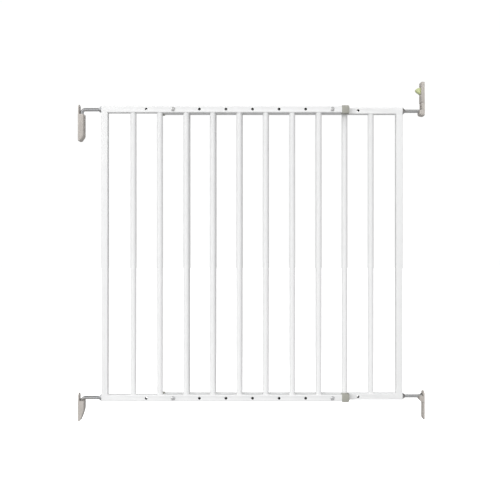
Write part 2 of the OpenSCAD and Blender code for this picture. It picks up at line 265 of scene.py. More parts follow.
def place(ob, body, mats, stands_for, matrix=None, angle=32):
    """Millimetres to metres in the row frame, smooth shading, materials, and what it rides on and replaces."""
    me = ob.data
    m = (matrix or Matrix.Identity(4)).copy()
    me.transform(m)
    if m.determinant() < 0:
        me.flip_normals()
    me.transform(Matrix.Scale(MM, 4))
    # emptying the slots resets every face to the first one, so the faces' slots are put back after it
    faces = [min(p.material_index, len(mats) - 1) for p in me.polygons]
    me.materials.clear()
    for mt in mats:
        me.materials.append(mt)
    me.polygons.foreach_set("material_index", faces)
    me.shade_smooth()
    me.set_sharp_from_angle(angle=math.radians(angle))
    me.update()
    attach(ob, body)
    if stands_for:
        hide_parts(*stands_for)
    return ob


LEFT_WALL = Matrix.Translation((-WALL, MID_L, 0))
RIGHT_WALL = Matrix.Translation((WALL, MID_R, 0)) @ Matrix.Diagonal((-1, 1, 1, 1))


# ---------------------------------------------------------------- materials
class Nodes:
    def __init__(self, name):
        self.mat = bpy.data.materials.new(name)
        self.mat.use_nodes = True
        self.t = self.mat.node_tree
        self.bsdf = next(n for n in self.t.nodes if n.type == "BSDF_PRINCIPLED")
        self.coord = self.t.nodes.new("ShaderNodeTexCoord").outputs["Object"]

    def add(self, kind, **vals):
        n = self.t.nodes.new(kind)
        for k, v in vals.items():
            if k in n.inputs:
                n.inputs[k].default_value = v
            else:
                setattr(n, k, v)
        return n

    def link(self, a, b): self.t.links.new(a, b)

    def mapped(self, scale):
        m = self.add("ShaderNodeMapping")
        m.inputs["Scale"].default_value = scale
        self.link(self.coord, m.inputs["Vector"])
        return m.outputs["Vector"]

    def noise(self, scale, detail=2.0, rough=0.5, vec=None, distort=0.0):
        n = self.add("ShaderNodeTexNoise")
        n.inputs["Scale"].default_value = scale
        n.inputs["Detail"].default_value = detail
        n.inputs["Roughness"].default_value = rough
        n.inputs["Distortion"].default_value = distort
        self.link(vec or self.coord, n.inputs["Vector"])
        return n.outputs["Fac"]

    def ramp(self, fac, stops):
        r = self.add("ShaderNodeValToRGB")
        el = r.color_ramp.elements
        while len(el) < len(stops):
            el.new(0.5)
        for e, (p, c) in zip(el, stops):
            e.position = p
            e.color = (c, c, c, 1) if isinstance(c, (int, float)) else (*c, 1)
        self.link(fac, r.inputs["Fac"])
        return r.outputs["Color"]

    def mix(self, fac, a, b, mode="MIX"):
        n = self.add("ShaderNodeMix", data_type="RGBA", blend_type=mode)
        if isinstance(fac, float):
            n.inputs[0].default_value = fac
        else:
            self.link(fac, n.inputs[0])
        for s, v in ((6, a), (7, b)):
            if isinstance(v, tuple):
                n.inputs[s].default_value = (*v, 1)
            else:
                self.link(v, n.inputs[s])
        return n.outputs[2]

    def bump(self, layers):
        """layers: (height output, strength, distance in metres), stacked."""
        last = None
        for h, strength, dist in layers:
            b = self.add("ShaderNodeBump")
            b.inputs["Strength"].default_value = strength
            b.inputs["Distance"].default_value = dist
            self.link(h, b.inputs["Height"])
            if last is not None:
                self.link(last, b.inputs["Normal"])
            last = b.outputs["Normal"]
        self.link(last, self.bsdf.inputs["Normal"])


def powder_coat():
    m = Nodes("powder_coat_white")
    tone = m.ramp(m.noise(22, 3, 0.55), [(0.3, (0.868, 0.868, 0.864)), (0.7, (0.892, 0.892, 0.886))])
    speck = m.ramp(m.noise(1500, 1, 0.5), [(0.28, 0.96), (0.40, 1.0)])
    m.link(m.mix(1.0, tone, speck, "MULTIPLY"), m.bsdf.inputs["Base Color"])
    m.link(m.ramp(m.noise(60, 3, 0.6), [(0.3, 0.33), (0.7, 0.44)]), m.bsdf.inputs["Roughness"])
    m.bsdf.inputs["Specular IOR Level"].default_value = 0.5
    m.bsdf.inputs["Coat Weight"].default_value = 0.15
    m.bsdf.inputs["Coat Roughness"].default_value = 0.25
    m.bump([(m.noise(480, 2, 0.5), 0.22, 0.00014), (m.noise(1700, 1, 0.5), 0.12, 0.00005)])
    return m.mat


def bare_steel_and_painted_shade():
    m = Nodes("bare_steel_inside_painted_shade")
    # near-black base colour: bare steel, darkened far below its own grey as painted shade inside the tubes and holes
    tone = m.ramp(m.noise(160, 4, 0.6), [(0.3, (0.004, 0.004, 0.004)), (0.7, (0.010, 0.0098, 0.0095))])
    m.link(tone, m.bsdf.inputs["Base Color"])
    m.bsdf.inputs["Specular IOR Level"].default_value = 0.1
    m.link(m.ramp(m.noise(300, 2), [(0.3, 0.6), (0.7, 0.8)]), m.bsdf.inputs["Roughness"])
    return m.mat


def zinc(name="zinc_plate", dark=(0.54, 0.545, 0.555), light=(0.70, 0.70, 0.70)):
    m = Nodes(name)
    tone = m.ramp(m.noise(240, 4, 0.62), [(0.28, dark), (0.72, light)])
    blue = m.ramp(m.noise(35, 2, 0.5), [(0.35, (0.985, 0.99, 1.0)), (0.7, (1.0, 0.985, 0.955))])
    m.link(m.mix(1.0, tone, blue, "MULTIPLY"), m.bsdf.inputs["Base Color"])
    m.bsdf.inputs["Metallic"].default_value = 1.0
    m.link(m.ramp(m.noise(520, 3, 0.6), [(0.3, 0.24), (0.7, 0.31)]), m.bsdf.inputs["Roughness"])
    m.bump([(m.noise(900, 3, 0.6), 0.10, 0.00005)])
    return m.mat


def plastic(name, dark, light, grain=2300, depth=0.00006, rough=(0.42, 0.58), soft=0.0, spec=0.5):
    m = Nodes(name)
    tone = m.ramp(m.noise(45, 3, 0.55), [(0.3, dark), (0.7, light)])
    pits = m.ramp(m.noise(grain, 2, 0.55), [(0.30, 0.95), (0.55, 1.0)])
    m.link(m.mix(1.0, tone, pits, "MULTIPLY"), m.bsdf.inputs["Base Color"])
    m.link(m.ramp(m.noise(130, 3, 0.6), [(0.3, rough[0]), (0.7, rough[1])]), m.bsdf.inputs["Roughness"])
    m.bsdf.inputs["Specular IOR Level"].default_value = spec
    if soft:
        m.bsdf.inputs["Subsurface Weight"].default_value = soft
        m.bsdf.inputs["Subsurface Radius"].default_value = (1.0, 1.0, 0.5)
        m.bsdf.inputs["Subsurface Scale"].default_value = 0.004
    m.bump([(m.noise(grain, 2, 0.55), 0.22, depth), (m.noise(90, 2, 0.5), 0.06, 0.0003)])
    return m.mat


WHITE, BARE_STEEL_SHADE, ZINC = powder_coat(), bare_steel_and_painted_shade(), zinc()
BOLT = zinc("bolt_plate", (0.76, 0.76, 0.765), (0.90, 0.895, 0.89))
GREY = plastic("bracket_plastic", (0.49, 0.455, 0.42), (0.56, 0.52, 0.48))
CAPS = plastic("cap_plastic", (0.37, 0.365, 0.32), (0.42, 0.415, 0.365), grain=1900)
GREEN = plastic("slider_plastic", (0.60, 0.66, 0.34), (0.68, 0.73, 0.42), grain=2600, depth=0.00003, rough=(0.30, 0.42), soft=0.35)
NYLON = plastic("bush_nylon", (0.74, 0.73, 0.66), (0.80, 0.79, 0.73), rough=(0.35, 0.45), soft=0.2)
SPRING = plastic("spring_wire", (0.30, 0.30, 0.31), (0.42, 0.42, 0.43), rough=(0.25, 0.35))
SPRING.node_tree.nodes["Principled BSDF"].inputs["Metallic"].default_value = 1.0


# ---------------------------------------------------------------- tubes and bars
def tube_bm(length, wall=1.2, n=6):
    """Hollow rounded square tube along X from 0; the inside faces take material 1, bare steel darkened to near black as
    painted shade.
    """
    bm = bmesh.new()
    outer = round_rect(TUBE, TUBE, R_TUBE, n)
    inner = round_rect(TUBE - 2 * wall, TUBE - 2 * wall, 0.7, n)
    rings = [[bm.verts.new((x, p, q)) for p, q in prof] for prof, x in ((outer, 0.25), (outer, length - 0.25), (inner, length), (inner, 0))]
    lips = [[bm.verts.new((x, p * s, q * s)) for p, q in outer] for x, s in ((0, 1 - 0.5 / TUBE), (length, 1 - 0.5 / TUBE))]
    order = [lips[0], rings[0], rings[1], lips[1], rings[2], rings[3]]
    k = len(outer)
    for i in range(6):
        A, B = order[i], order[(i + 1) % 6]
        for j in range(k):
            f = bm.faces.new((A[j], A[(j + 1) % k], B[(j + 1) % k], B[j]))
            f.material_index = 1 if i == 4 else 0
    bmesh.ops.recalc_face_normals(bm, faces=bm.faces)
    return bm


def rail(name, x0, x1, y, z, holes, body):
    ob = to_object(name + "_skin", tube_bm(x1 - x0))
    ob.data.materials.append(WHITE)
    ob.data.materials.append(BARE_STEEL_SHADE)
    h = TUBE / 2
    cutters = []
    for x in holes:
        for a, b in ((-h, -h + 1.2), (h - 1.2, h)):
            r, f = 3.25, 0.14
            outer_first = a < 0
            pts = [(0, a - 2), (r + f + 0.02, a - 2), (r + f + 0.02, a - 0.01)] if outer_first else [(0, a - 2), (r, a - 2)]
            if outer_first:
                pts += [(r + f * (1 - math.sin(t)), a + f * (1 - math.cos(t))) for t in [math.radians(v) for v in (8, 25, 45, 68, 90)]]
                pts += [(r, b + 2), (0, b + 2)]
            else:
                pts += [(r + f * (1 - math.sin(t)), b - f * (1 - math.cos(t))) for t in [math.radians(v) for v in (90, 68, 45, 25, 8)]]
                pts += [(r + f + 0.02, b + 0.01), (r + f + 0.02, b + 2), (0, b + 2)]
            cutters.append(lathe(pts, (x - x0, 0, 0), (0, 1, 0), 32))
    combine(ob, [join_bm(*cutters)])
    # the drilled walls inside the rounded lip take the inside material too: bare steel darkened to near black as
    # painted shade
    for p in ob.data.polygons:
        if any(math.hypot(p.center.x - (x - x0), p.center.z) < 3.28 for x in holes):
            p.material_index = 1
    place(ob, body, [WHITE, BARE_STEEL_SHADE], [name], Matrix.Translation((x0, y, z)))


left_holes = [BAR1 + PITCH * (i + 0.5) for i in range(8)]
right_holes = [BAR1 + PITCH * (i + 0.5) + PLAY for i in range(1, 9)]
rail("left_top_rail", TL[0], TH[0], MID_L, Z_HI, left_holes, "left_panel")
rail("left_bottom_rail", TL[0], TH[0], MID_L, Z_LO, left_holes, "left_panel")
rail("right_top_rail", RL[0], RH[0], MID_R, Z_HI, right_holes, "right_panel")
rail("right_bottom_rail", RL[0], RH[0], MID_R, Z_LO, right_holes, "right_panel")


def rail_drop(y):
    """How far the rounded rail surface has fallen away at this distance from its middle."""
    e = abs(y) - (TUBE / 2 - R_TUBE)
    return 0.0 if e <= 0 else R_TUBE - math.sqrt(max(R_TUBE ** 2 - min(e, R_TUBE) ** 2, 0))


def bar_with_welds(name, body, y):
    """Round bar with a small weld fillet where it meets each rail."""
    a, b = lo(name), hi(name)
    x, z0, z1 = (a[0] + b[0]) / 2, a[2], b[2]
    r = (b[0] - a[0]) / 2
    n = 48
    bm = bmesh.new()
    rings = []

    def ring(side, w_share, up, sink=0.0):
        pts = []
        for k in range(n):
            t = 2 * math.pi * k / n
            c, s = math.cos(t), math.sin(t)
            w = max(min(1.25 + 0.18 * math.sin(5 * t + x) + 0.12 * math.sin(11 * t + 2 * x), 7.85 / max(abs(s), 1e-3) - r), 0.04)
            rr = r + w * w_share
            yy = rr * s
            dz = up * min(w, 1.2) - rail_drop(yy) * (1 - up) - sink
            z = z0 + dz if side < 0 else z1 - dz
            pts.append(bm.verts.new((x + rr * c, y + yy, z)))
        rings.append(pts)

    ring(-1, 1.0, 0, 0.35)
    for ws, up in ((1.0, 0.0), (0.55, 0.14), (0.26, 0.36), (0.08, 0.68), (0.0, 1.0)):
        ring(-1, ws, up)
    for ws, up in ((0.0, 1.0), (0.08, 0.68), (0.26, 0.36), (0.55, 0.14), (1.0, 0.0)):
        ring(1, ws, up)
    ring(1, 1.0, 0, 0.35)
    for A, B in zip(rings, rings[1:]):
        for k in range(n):
            j = (k + 1) % n
            bm.faces.new((A[k], A[j], B[j], B[k]))
    bm.faces.new(rings[0])
    bm.faces.new(list(reversed(rings[-1])))
    bmesh.ops.recalc_face_normals(bm, faces=bm.faces)
    ob = to_object(name + "_skin", bm)
    place(ob, body, [WHITE], [name], angle=50)


for i in range(1, 9):
    bar_with_welds("left_bar_%d" % i, "left_panel", MID_L)
    bar_with_welds("right_bar_%d" % i, "right_panel", MID_R)


def post(name, body, y, inner):
    """Square post: inner is +1 or -1, the side that faces the bars, where the weld beads show."""
    a, b = lo(name), hi(name)
    x = (a[0] + b[0]) / 2
    z0, z1 = a[2] - R_TUBE, b[2] + R_TUBE
    k = 7
    prof = round_rect(TUBE, TUBE, R_TUBE, 6)
    bm = prism(prof, z0, z1, "z")
    bm.transform(Matrix.Translation((x, y, 0)))
    shells = [bm]
    face = x + inner * TUBE / 2
    for z, up in ((a[2], 1), (b[2], -1)):
        # concave bead across the inner corner
        w = 1.3
        pts = [(face - inner * 0.3, z - up * 0.3), (face + inner * w, z - up * 0.3), (face + inner * w, z)]
        pts += [(face + inner * (w - w * math.sin(t)), z + up * (w - w * math.cos(t))) for t in [math.radians(v) for v in (20, 45, 70)]]
        pts += [(face, z + up * w), (face - inner * 0.3, z + up * w)]
        shells.append(prism(pts, y - 6.4, y + 6.4, "y", 0.12, 1))
    ob = to_object(name + "_skin", join_bm(*shells))
    place(ob, body, [WHITE], [name])


post("left_post", "left_panel", MID_L, 1)
post("right_post", "right_panel", MID_R, -1)


# ---------------------------------------------------------------- end caps and plugs
def end_cap(name, x_end, side, y, z, s, body):
    """Sleeve cap drawn for a rail that ends at X = 0 with its outside towards +X; s is +1 at the top rail."""
    t = TUBE / 2 + 1.4
    prof = [(-15.9, -t * s), (1.8, -t * s)] + [(p, q * s) for p, q in arc(1.8 - 4, t - 4, 4, 0, 90, 10)] + [(-15.9, t * s)]
    ob = to_object(name + "_skin", prism(prof, -t, t, "y", 0.55, 3))
    i = TUBE / 2 + 0.05
    combine(ob, [prism(round_rect(2 * i, 2 * i, R_TUBE, 6), -17, 0.05, "x")])
    m = Matrix.Translation((x_end, y, z)) @ Matrix.Diagonal((side, 1, 1, 1))
    place(ob, body, [CAPS], [name], m)


end_cap("left_top_end_cap", TH[0], 1, MID_L, Z_HI, 1, "left_panel")
end_cap("left_bottom_end_cap", TH[0], 1, MID_L, Z_LO, -1, "left_panel")
end_cap("right_top_end_cap", RL[0], -1, MID_R, Z_HI, 1, "right_panel")
end_cap("right_bottom_end_cap", RL[0], -1, MID_R, Z_LO, -1, "right_panel")


def plug(name, x_end, side, y, z, body):
    w = TUBE - 2 * 1.2 - 0.1
    ob = to_object(name + "_skin", prism(round_rect(w, w, 1.0, 4), 0.35, 26, "x", 0.3, 2))
    combine(ob, [lathe([(0, -1), (4.06, -1), (4.06, 27), (0, 27)], (0, 0, 0), (1, 0, 0), 32)])
    place(ob, body, [ZINC], [name], Matrix.Translation((x_end, y, z)) @ Matrix.Diagonal((side, 1, 1, 1)))


plug("left_top_plug", LEFT_END, 1, MID_L, Z_HI, "left_panel")
plug("left_bottom_plug", LEFT_END, 1, MID_L, Z_LO, "left_panel")
plug("right_top_plug", RIGHT_END, -1, MID_R, Z_HI, "right_panel")
plug("right_bottom_plug", RIGHT_END, -1, MID_R, Z_LO, "right_panel")


# ---------------------------------------------------------------- spindles
def thread_radius(major, minor, pitch, s0, s1):
    """Skin of a rod with a rounded V thread between s0 and s1 and a plain shank outside that."""
    def f(s, t):
        if s < s0 or s > s1:
            return major
        ph = (s / pitch - t / (2 * math.pi)) % 1.0
        tri = abs(ph - 0.5) * 2
        tri = min(max((tri - 0.1) / 0.8, 0), 1)
        fade = min(1.0, (s - s0) / (2 * pitch) + (1.0 if s0 <= 0 else 0.0), max((s1 - s) / (2 * pitch), 0))
        return major - (major - minor) * (1 - tri) * fade
    return f


def stations(s_end, s1, pitch=1.25, per=8, extra=()):
    out = [s1 * i / max(int(s1 / pitch * per), 1) for i in range(max(int(s1 / pitch * per), 1) + 1)]
    out += list(extra)
    out += [s_end]
    return sorted(set(round(v, 5) for v in out if v <= s_end + 1e-6))


def hinge_spindle(name):
    a, b = lo(name), hi(name)
    r, R = 3.99, 8.0
    z = b[2] - 4.0
    x_axis = -WALL + AXIS_U
    x_in = b[0]
    x_bend = x_axis + R
    straight = x_in - x_bend
    s1 = x_in - LEFT_END + 9.5
    arc_l = math.pi / 2 * R
    z_end = a[2]
    down = (z - R) - z_end
    total = straight + arc_l + down
    extra = [s1 + 2, straight - 3, straight] + [straight + arc_l * i / 14 for i in range(15)] + [straight + arc_l + 2, total - 1.0, total - 0.5, total - 0.05]
    path = []
    for s in stations(total, s1, extra=extra):
        if s <= straight:
            path.append((x_in - s, z, s))
        elif s <= straight + arc_l:
            t = (s - straight) / R
            path.append((x_bend - R * math.sin(t), z - R + R * math.cos(t), s))
        else:
            path.append((x_axis, z - R - (s - straight - arc_l), s))
    skin = thread_radius(r, 3.42, 1.25, 0, s1)

    def radius(s, t):
        if s > total - 1.0:
            return r - 0.8 * (s - total + 1.0)
        return skin(s, t)
    ob = to_object(name + "_skin", sweep(path, radius, 28, MID_L))
    place(ob, "left_panel", [ZINC], [name], angle=45)


def latch_spindle(name):
    a, b = lo(name), hi(name)
    z = (a[2] + b[2]) / 2
    x_in, x_head = a[0], b[0] - 3.5
    s1 = RIGHT_END - x_in + 9.5
    total = x_head - x_in + 0.5
    path = [(x_in + s, z, s) for s in stations(total, s1, extra=[s1 + 2, total - 1])]
    rod = sweep(path, thread_radius(3.99, 3.42, 1.25, 0, s1), 28, MID_R)
    rim = 0.7
    prof = [(0, 0), (7 - rim, 0)] + [(7 - rim + rim * math.sin(t), rim - rim * math.cos(t)) for t in [math.radians(v) for v in (22, 45, 67, 90)]]
    prof += [(7 - rim + rim * math.cos(t), 3.5 - rim + rim * math.sin(t)) for t in [math.radians(v) for v in (0, 22, 45, 67, 90)]] + [(0, 3.5)]
    head = lathe(prof, (x_head, MID_R, z), (1, 0, 0), 48)
    ob = to_object(name + "_skin", rod)
    combine(ob, [head], "UNION")
    place(ob, "right_panel", [ZINC], [name], angle=45)


hinge_spindle("upper_hinge_spindle")
hinge_spindle("lower_hinge_spindle")
latch_spindle("upper_latch_spindle")
latch_spindle("lower_latch_spindle")


def lock_nut(name, x_end, out, y, z, body):
    """Flared nut: wide knurled rim against the frame, trumpet down to the rod."""
    ln = (hi(name)[0] - lo(name)[0])
    rm = (hi(name)[2] - lo(name)[2]) / 2
    prof = [(rm - 0.35, 0.1), (rm, 0.35), (rm, 0.95), (rm - 0.35, 1.3), (rm - 0.75, 1.85), (rm - 1.3, 2.5), (rm - 2.0, 3.25), (rm - 2.8, 4.05), (rm - 3.5, 4.75), (rm - 3.95, 5.3), (4.82, 5.75)]
    prof += [(4.8, ln - 0.1), (4.55, ln + 0.08), (4.06, ln + 0.08), (4.06, 0.1)]

    def knurl(r, h, t):
        return r - (0.16 * (0.5 + 0.5 * math.cos(30 * t)) if r > rm - 0.2 else 0)
    ob = to_object(name + "_skin", lathe(prof, (0, 0, 0), (1, 0, 0), 120, knurl))
    place(ob, body, [ZINC], [name], Matrix.Translation((x_end, y, z)) @ Matrix.Diagonal((out, 1, 1, 1)), angle=40)


lock_nut("upper_hinge_nut", LEFT_END, -1, MID_L, Z_HI, "left_panel")
lock_nut("lower_hinge_nut", LEFT_END, -1, MID_L, Z_LO, "left_panel")
lock_nut("upper_latch_nut", RIGHT_END, 1, MID_R, Z_HI, "right_panel")
lock_nut("lower_latch_nut", RIGHT_END, 1, MID_R, Z_LO, "right_panel")


# ---------------------------------------------------------------- joining bolts
def bolts(name, nuts, body):
    x = (lo(name)[0] + hi(name)[0]) / 2
    front = MID_L - TUBE / 2
    back = MID_R + TUBE / 2
    y_end = hi(name)[1]
    dome = [(0, 0.0), (4.55, 0.0), (4.95, 0.25), (5.0, 0.75)] + [(5.0 * math.cos(t), 0.75 + 2.15 * math.sin(t)) for t in [math.radians(v) for v in (14, 28, 42, 56, 70, 80)]] + [(0, 2.9)]
    obs = []
    for z in (Z_LO, Z_HI):
        head = to_object(name + "_h", lathe(dome, (x, front - 0.02, z), (0, -1, 0), 48))
        hexa = [(x + 1.75 / math.cos(math.pi / 6) * math.cos(math.pi / 3 * k), z + 1.75 / math.cos(math.pi / 6) * math.sin(math.pi / 3 * k)) for k in range(6)]
        combine(head, [prism(hexa, front - 4, front - 1.1, "y"), lathe([(0, 2.55), (2.5, 3.6), (0, 3.6)], (x, front, z), (0, -1, 0), 24)])
        # threaded shank
        L = y_end - (front - 0.3)
        bm = bmesh.new()
        n, rings = 20, []
        steps = int(L / 0.1)
        for i in range(steps + 1):
            s = L * i / steps
            ring = []
            for k in range(n):
                t = 2 * math.pi * k / n
                ph = (s / 0.8 - t / (2 * math.pi)) % 1
                r = 2.48 - 0.33 * (1 - min(max((abs(ph - 0.5) * 2 - 0.1) / 0.8, 0), 1)) * (1 if s > L - 12 else 0) * min(1, max((L - s) / 0.6, 0) + 0.2)
                if s > L - 0.45:
                    r = min(r, 2.48 - 0.8 * (s - L + 0.45))
                ring.append(bm.verts.new((x + r * math.cos(t), front - 0.3 + s, z + r * math.sin(t))))
            if i == 0 or s > L - 12.2 or i == steps:
                rings.append(ring)
            else:
                for v in ring:
                    bm.verts.remove(v)
        for A, B in zip(rings, rings[1:]):
            for k in range(n):
                bm.faces.new((A[k], B[k], B[(k + 1) % n], A[(k + 1) % n]))
        bm.faces.new(rings[0])
        bm.faces.new(list(reversed(rings[-1])))
        bmesh.ops.recalc_face_normals(bm, faces=bm.faces)
        obs += [head, to_object(name + "_s", bm)]
    shells = []
    for o in obs:
        bm = bmesh.new()
        bm.from_mesh(o.data)
        shells.append(bm)
        bpy.data.objects.remove(o)
    ob = to_object(name + "_skin", join_bm(*shells))
    place(ob, body, [BOLT], [name], angle=38)

    # hexagon nuts with the raised collar of a nylon-insert nut, drawn in the same zinc as the nut
    parts = []
    for z in (Z_LO, Z_HI):
        R = 4 / math.cos(math.pi / 6)
        hexa = [(x + R * math.cos(math.pi / 3 * k), z + R * math.sin(math.pi / 3 * k)) for k in range(6)]
        nut = to_object(nuts + "_n", prism(hexa, back + 0.05, back + 3.1, "y"))
        cone = lathe([(0, -0.2), (4.25, -0.2), (4.62, 0.45), (4.62, 2.5), (4.1, 3.05), (0, 3.3)], (x, back + 0.05, z), (0, 1, 0), 48)
        combine(nut, [cone], "INTERSECT")
        combine(nut, [lathe([(0, 2.4), (3.3, 2.4), (3.45, 3.0), (3.4, 3.6), (3.1, 3.95), (0, 3.95)], (x, back + 0.05, z), (0, 1, 0), 40)], "UNION")
        combine(nut, [lathe([(0, -1), (2.9, -1), (2.53, 0.4), (2.53, 5), (0, 5)], (x, back + 0.05, z), (0, 1, 0), 24)])
        bm = bmesh.new()
        bm.from_mesh(nut.data)
        parts.append(bm)
        bpy.data.objects.remove(nut)
    ob = to_object(nuts + "_skin", join_bm(*parts))
    place(ob, body, [ZINC], [nuts], angle=30)


bolts("left_joining_bolts", "left_joining_nuts", "right_panel")
bolts("right_joining_bolts", "right_joining_nuts", "left_panel")


# ---------------------------------------------------------------- hinge brackets
def screw_hole(z, t, r, csk, depth):
    """Countersunk screw hole through a plate of thickness t, drawn along X."""
    return lathe([(0, -2), (r + 0.3, -2), (r + 0.3, 0), (r, 0.3), (r, t - depth), (r + csk, t), (r + csk, t + 3), (0, t + 3)], (0, 0, z), (1, 0, 0), 40)


BW, D, PT, SH, TW, BORE = 24.0, 14.2, 2.5, 1.2, 9.0, 4.8


def hinge_base(name, z0, z1, zb, zt, s0, s1):
    n, boss = BW / 2 - SH - 0.3, BORE + 0.7
    prof = [(-n, z0 + SH + 0.3), (n, z0 + SH + 0.3), (n, zt + 0.1), (TW, zt + 0.1)] + arc(0, z1 - TW, TW, 0, 180, 28) + [(-TW, zt + 0.1), (-n, zt + 0.1)]
    ob = to_object(name + "_skin", prism(prof, 0, PT, "x", 0.8, 4, lambda e: all(v.co.x > PT - 0.1 for v in e.verts)))
    combine(ob, [block((PT - 0.5, -7.4, zb), (AXIS_U, 7.4, zt), 0.5, 2), block((PT - 0.5, -boss, zb + 0.05), (AXIS_U + boss, boss, zt - 0.05), 0.6, 3)], "UNION")
    combine(ob, [lathe([(0, zb + 2), (BORE, zb + 2), (BORE, zt - 0.4), (BORE + 0.4, zt), (BORE + 0.4, zt + 3), (0, zt + 3)], (AXIS_U, 0, 0), (0, 0, 1), 48),
                 screw_hole(s0, PT, 2.6, 1.6, 1.5), screw_hole(s1, PT, 2.6, 1.6, 1.5)])
    clean(ob)
    place(ob, "hinge_wall_fittings", [GREY], [name], LEFT_WALL)


def hinge_cover(name, side, hollow, top):
    w = BW / 2
    def shell(profile, h, big, small):
        bm = prism(profile, -h, h, "y")
        bevel_edges(bm, big, 6, lambda e: all(abs(abs(v.co.y) - h) < 0.01 and v.co.x > 5 for v in e.verts) and abs(e.verts[0].co.y - e.verts[1].co.y) < 0.01 and abs(e.verts[0].co.z - e.verts[1].co.z) > 1)
        bevel_edges(bm, small, 3, lambda e: not all(v.co.x < 0.5 for v in e.verts))
        return bm
    ob = to_object(name + "_skin", shell(side, w, 3.0, 0.9))
    combine(ob, [shell(hollow, w - SH, 2.0, 0.3)])
    combine(ob, [lathe([(0, -4), (4.8, -4), (4.8, 0.5), (4.92, 0.88), (5.2, 1.15), (5.6, 1.25), (5.6, 5), (0, 5)], (AXIS_U, 0, top - SH), (0, 0, 1), 48),
                 block((-1, -TW - 0.2, top - 3), (PT + 0.5, TW + 0.2, top + 1))])
    clean(ob)
    place(ob, "hinge_wall_fittings", [GREY], [name], LEFT_WALL, angle=30)


def hinge_bush(name, zb, zt):
    r, R = 4.05, BORE - 0.05
    prof = [(r + 0.2, zb + 2.2), (R - 0.25, zb + 2.2), (R, zb + 2.5), (R, zt - 0.55), (R - 0.2, zt - 0.3), (r + 0.25, zt - 0.3), (r, zt - 0.6), (r, zb + 2.45)]
    ob = to_object(name + "_skin", lathe(prof, (AXIS_U, 0, 0), (0, 0, 1), 64))
    place(ob, "hinge_bushes", [NYLON], [name], LEFT_WALL)


U_TOP, U_BOT, L_TOP = Z_HI - 12, Z_HI - 77, Z_LO - 6
U_SOCK, L_SOCK, DI = U_TOP - 46, L_TOP - 17, D - SH
hinge_base("upper_hinge_base", U_BOT, Z_HI + 12, U_SOCK, U_TOP - 1.6, U_BOT + 8, Z_HI + 4)
hinge_base("lower_hinge_base", 0, Z_LO + 12.5, L_SOCK, L_TOP - 1.6, 6.6, Z_LO + 5)
hinge_cover("upper_hinge_cover",
            [(0.3, U_BOT), (6.5, U_BOT), (D - 1.2, U_BOT + 9), (D, U_BOT + 13), (D, U_TOP), (0.3, U_TOP)],
            [(-1, U_BOT + SH), (6, U_BOT + SH), (DI - 1.1, U_BOT + 9.6), (DI, U_BOT + 13.5), (DI, U_TOP - SH), (-1, U_TOP - SH)], U_TOP)
hinge_cover("lower_hinge_cover",
            smooth_run([(0.3, 0), (3.2, 0.2), (4.6, 2), (6.3, 5.6), (8.3, 10.3), (10.2, 15.5), (12, 21), (D - 0.7, 26.2), (D, 31.5)]) + [(D, L_TOP), (0.3, L_TOP)],
            [(-1, SH), (2.8, 1.35)] + smooth_run([(3.5, 2.6), (5.2, 6.1), (7.2, 10.7), (9.1, 15.9), (10.8, 21.4), (DI - 0.7, 26.5), (DI, 31.7)]) + [(DI, L_TOP - SH), (-1, L_TOP - SH)], L_TOP)
hinge_bush("upper_hinge_bush", U_SOCK, U_TOP - 1.6)
hinge_bush("lower_hinge_bush", L_SOCK, L_TOP - 1.6)


# ---------------------------------------------------------------- lock and catch
HEAD_U, HEAD_T = 4.5, 3.5


def cradle_block(z, w, foot):
    return prism([(1, z - foot), (8.5, z - foot + 0.8), (11.6, z - foot + 3), (12.5, z - foot + 5.5), (12.5, z + 0.6), (11.3, z + 2), (1, z + 2)], -w, w, "y", 0.8, 3, lambda e: not all(v.co.x < 1.2 for v in e.verts))


def slot_cut(u0, u1, r, z, flare=0.0):
    """Open-topped round-bottomed slot across the cradle."""
    prof = arc(0, z, r, 180, 360, 24) + [(r, z + 0.9 - flare)] + ([(r + flare, z + 2.02)] if flare else []) + [(r + flare, z + 34), (-r - flare, z + 34)] + ([(-r - flare, z + 2.02)] if flare else []) + [(-r, z + 0.9 - flare)]
    return prism(prof, u0, u1, "x")


def cradle_cuts(z):
    return [slot_cut(3.8, HEAD_U + HEAD_T + 0.5, 7.4, z), slot_cut(3.8, 20, 4.5, z, 0.7)]


LOCK_T, LOCK_TOP, LOCK_FOOT = 3.2, Z_HI + 71, Z_HI + 20
S_BOT, S_TOP = lo("thumb_slider")[2], hi("thumb_slider")[2]


def lock_base():
    name, w = "lock_base", BW / 2
    prof = [(-w + 3, Z_HI - 12), (w - 3, Z_HI - 12), (w, Z_HI - 9), (w, LOCK_FOOT - 0.3), (w - 2.1, LOCK_FOOT - 0.3), (w - 2.1, LOCK_TOP - 2.3), (-w + 2.1, LOCK_TOP - 2.3),
            (-w + 2.1, LOCK_FOOT - 0.3), (-w, LOCK_FOOT - 0.3), (-w, Z_HI - 9)]
    ob = to_object(name + "_skin", prism(prof, 0, LOCK_T, "x", 0.5, 2, lambda e: all(v.co.x > LOCK_T - 0.1 for v in e.verts)))
    parts = [cradle_block(Z_HI, w - 0.2, 12), block((LOCK_T - 0.5, -1.5, Z_HI + 46), (5.9, 1.5, Z_HI + 49), 0.3, 2)]
    for m in (1, -1):
        parts.append(block((1, min(8.2 * m, (w - 0.2) * m), Z_HI + 1), (7.4, max(8.2 * m, (w - 0.2) * m), LOCK_FOOT - 0.3), 0.6, 3))
    combine(ob, parts, "UNION")
    combine(ob, cradle_cuts(Z_HI) + [screw_hole(Z_HI + 30, LOCK_T, 2.6, 1.8, 1.7), screw_hole(Z_HI + 63, LOCK_T, 2.6, 1.8, 1.7)])
    clean(ob)
    place(ob, "latch_wall_fittings", [GREY], [name], RIGHT_WALL)


